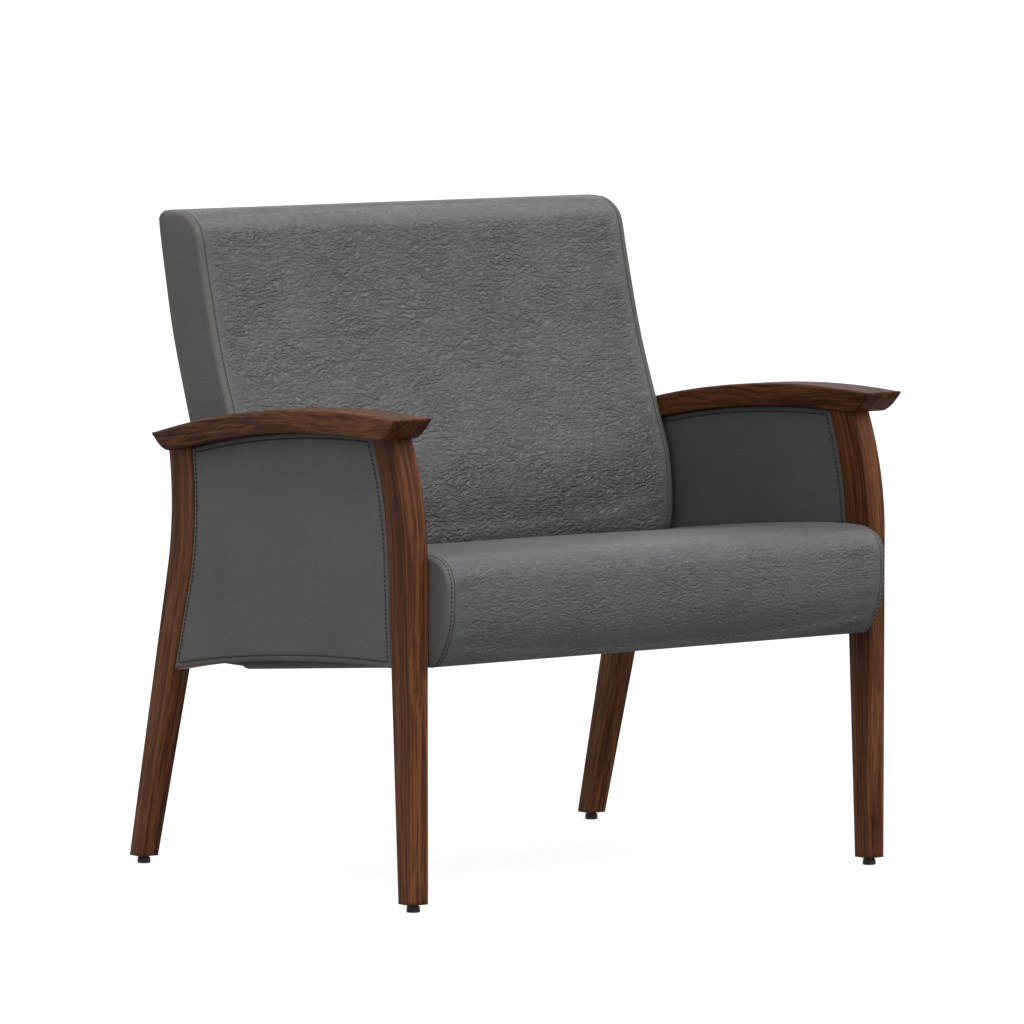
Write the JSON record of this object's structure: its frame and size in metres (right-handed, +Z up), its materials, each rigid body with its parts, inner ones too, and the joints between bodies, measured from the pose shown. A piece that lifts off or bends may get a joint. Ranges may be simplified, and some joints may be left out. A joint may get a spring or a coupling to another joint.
{
  "type": "bariatric guest chair",
  "caption": "Extra-wide guest chair with walnut arm frames, grey vinyl seat, back and side panels, and screw-in levelling glides.",
  "frame": {"origin": "on the floor under the middle of the chair's bounding box", "axes": "+Z up, the chair's front faces -Y, +X is the side at the right of someone who faces the chair"},
  "size_m": [0.8514, 0.6862, 0.8868],
  "materials": {
    "show_wood": "reddish-brown walnut with a satin lacquer",
    "frame_wood": "planed hardwood, unfinished",
    "plywood": "sanded plywood",
    "seat_vinyl": "grey upholstery vinyl with a fine crinkled grain and a soft sheen",
    "side_vinyl": "dark grey upholstery vinyl with a fine grain",
    "foam": "open-cell foam",
    "black_cloth": "black woven cloth",
    "steel": "zinc-plated steel",
    "black_steel": "blackened steel",
    "glide_plastic": "matt black nylon"
  },
  "bodies": {
    "chair": {"front_leg_left": "show_wood", "front_leg_right": "show_wood", "rear_leg_left": "show_wood", "rear_leg_right": "show_wood", "arm_cap_left": "show_wood", "arm_cap_right": "show_wood", "side_rail_left": "frame_wood", "side_rail_right": "frame_wood", "side_board_left": "plywood", "side_board_right": "plywood", "side_cover_outer_left": "side_vinyl", "side_cover_outer_right": "side_vinyl", "side_cover_inner_left": "side_vinyl", "side_cover_inner_right": "side_vinyl", "arm_dowels": "frame_wood", "rail_dowels": "frame_wood", "seat_front_rail": "frame_wood", "seat_rear_rail": "frame_wood", "seat_side_rail_left": "frame_wood", "seat_side_rail_right": "frame_wood", "seat_corner_blocks": "frame_wood", "seat_steel_bars": "steel", "seat_deck": "plywood", "seat_foam": "foam", "seat_cover": "seat_vinyl", "seat_end_left": "side_vinyl", "seat_end_right": "side_vinyl", "seat_dust_cover": "black_cloth", "back_stile_left": "frame_wood", "back_stile_right": "frame_wood", "back_top_rail": "frame_wood", "back_bottom_rail": "frame_wood", "back_webbing": "black_cloth", "back_foam": "foam", "back_cover": "seat_vinyl", "back_end_left": "side_vinyl", "back_end_right": "side_vinyl", "back_under_cover": "side_vinyl", "outside_back_panel": "side_vinyl", "back_bracket_left": "steel", "back_bracket_right": "steel", "bracket_screws": "steel", "seat_bolts": "steel", "back_bolts": "steel", "bolt_washers": "steel", "threaded_inserts": "steel", "glide_inserts": "steel"},
    "pad_front_left": {"glide_pad_front_left": "glide_plastic"},
    "stem_front_left": {"glide_stem_front_left": "black_steel"},
    "pad_front_right": {"glide_pad_front_right": "glide_plastic"},
    "stem_front_right": {"glide_stem_front_right": "black_steel"},
    "pad_rear_left": {"glide_pad_rear_left": "glide_plastic"},
    "stem_rear_left": {"glide_stem_rear_left": "black_steel"},
    "pad_rear_right": {"glide_pad_rear_right": "glide_plastic"},
    "stem_rear_right": {"glide_stem_rear_right": "black_steel"}
  },
  "joints": [
    {"name": "glide_lift_front_left", "type": "slide", "parent": "chair", "child": "pad_front_left", "axis": [0, 0, -1], "range_m": [0, 0.01]},
    {"name": "glide_turn_front_left", "type": "hinge", "parent": "pad_front_left", "child": "stem_front_left", "pos_m": [-0.38525, -0.28314, 0.01], "axis": [0, 0, -1], "range_deg": [0, 2881]},
    {"name": "glide_lift_front_right", "type": "slide", "parent": "chair", "child": "pad_front_right", "axis": [0, 0, -1], "range_m": [0, 0.01]},
    {"name": "glide_turn_front_right", "type": "hinge", "parent": "pad_front_right", "child": "stem_front_right", "pos_m": [0.38525, -0.28314, 0.01], "axis": [0, 0, -1], "range_deg": [0, 2881]},
    {"name": "glide_lift_rear_left", "type": "slide", "parent": "chair", "child": "pad_rear_left", "axis": [0, 0, -1], "range_m": [0, 0.01]},
    {"name": "glide_turn_rear_left", "type": "hinge", "parent": "pad_rear_left", "child": "stem_rear_left", "pos_m": [-0.38525, 0.32886, 0.01], "axis": [0, 0, -1], "range_deg": [0, 2881]},
    {"name": "glide_lift_rear_right", "type": "slide", "parent": "chair", "child": "pad_rear_right", "axis": [0, 0, -1], "range_m": [0, 0.01]},
    {"name": "glide_turn_rear_right", "type": "hinge", "parent": "pad_rear_right", "child": "stem_rear_right", "pos_m": [0.38525, 0.32886, 0.01], "axis": [0, 0, -1], "range_deg": [0, 2881]}
  ],
  "couplings": [
    {"joint": "glide_turn_front_left", "follows": "glide_lift_front_left", "rad_per_m": 5026.5},
    {"joint": "glide_turn_front_right", "follows": "glide_lift_front_right", "rad_per_m": 5026.5},
    {"joint": "glide_turn_rear_left", "follows": "glide_lift_rear_left", "rad_per_m": 5026.5},
    {"joint": "glide_turn_rear_right", "follows": "glide_lift_rear_right", "rad_per_m": 5026.5}
  ]
}
